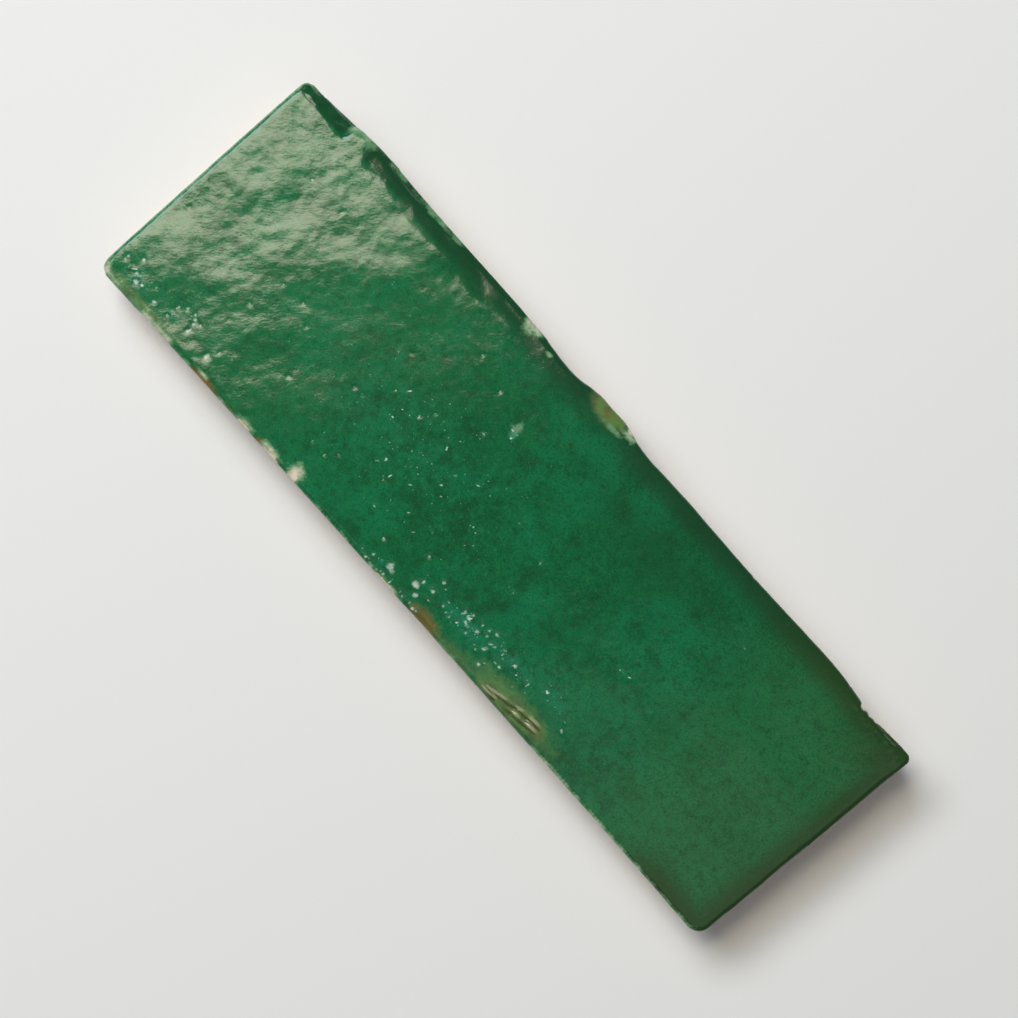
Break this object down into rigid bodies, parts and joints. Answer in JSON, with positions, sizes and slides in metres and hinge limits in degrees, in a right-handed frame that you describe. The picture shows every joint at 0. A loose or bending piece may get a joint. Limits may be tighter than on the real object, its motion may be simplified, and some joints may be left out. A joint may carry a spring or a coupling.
{
  "type": "zellige tile",
  "caption": "Long hand-made zellige tile: one slab of fired clay with a wavy, pillowed, glazed green face, softened chipped edges and sides dressed back to a flat bedding face.",
  "frame": {"origin": "middle of the flat back, which is the face that the tile is bedded on", "axes": "+X along the tile from the near end to the far end, +Y across it from the joint side to the open side, +Z out of the glazed face"},
  "size_m": [0.1504, 0.0477, 0.012],
  "materials": {
    "glazed_clay": "deep green gloss glaze, mottled, over matt terracotta that shows at the chips, on the sides and on the back"
  },
  "bodies": {
    "root": {"zellige_tile": "glazed_clay"}
  },
  "joints": []
}
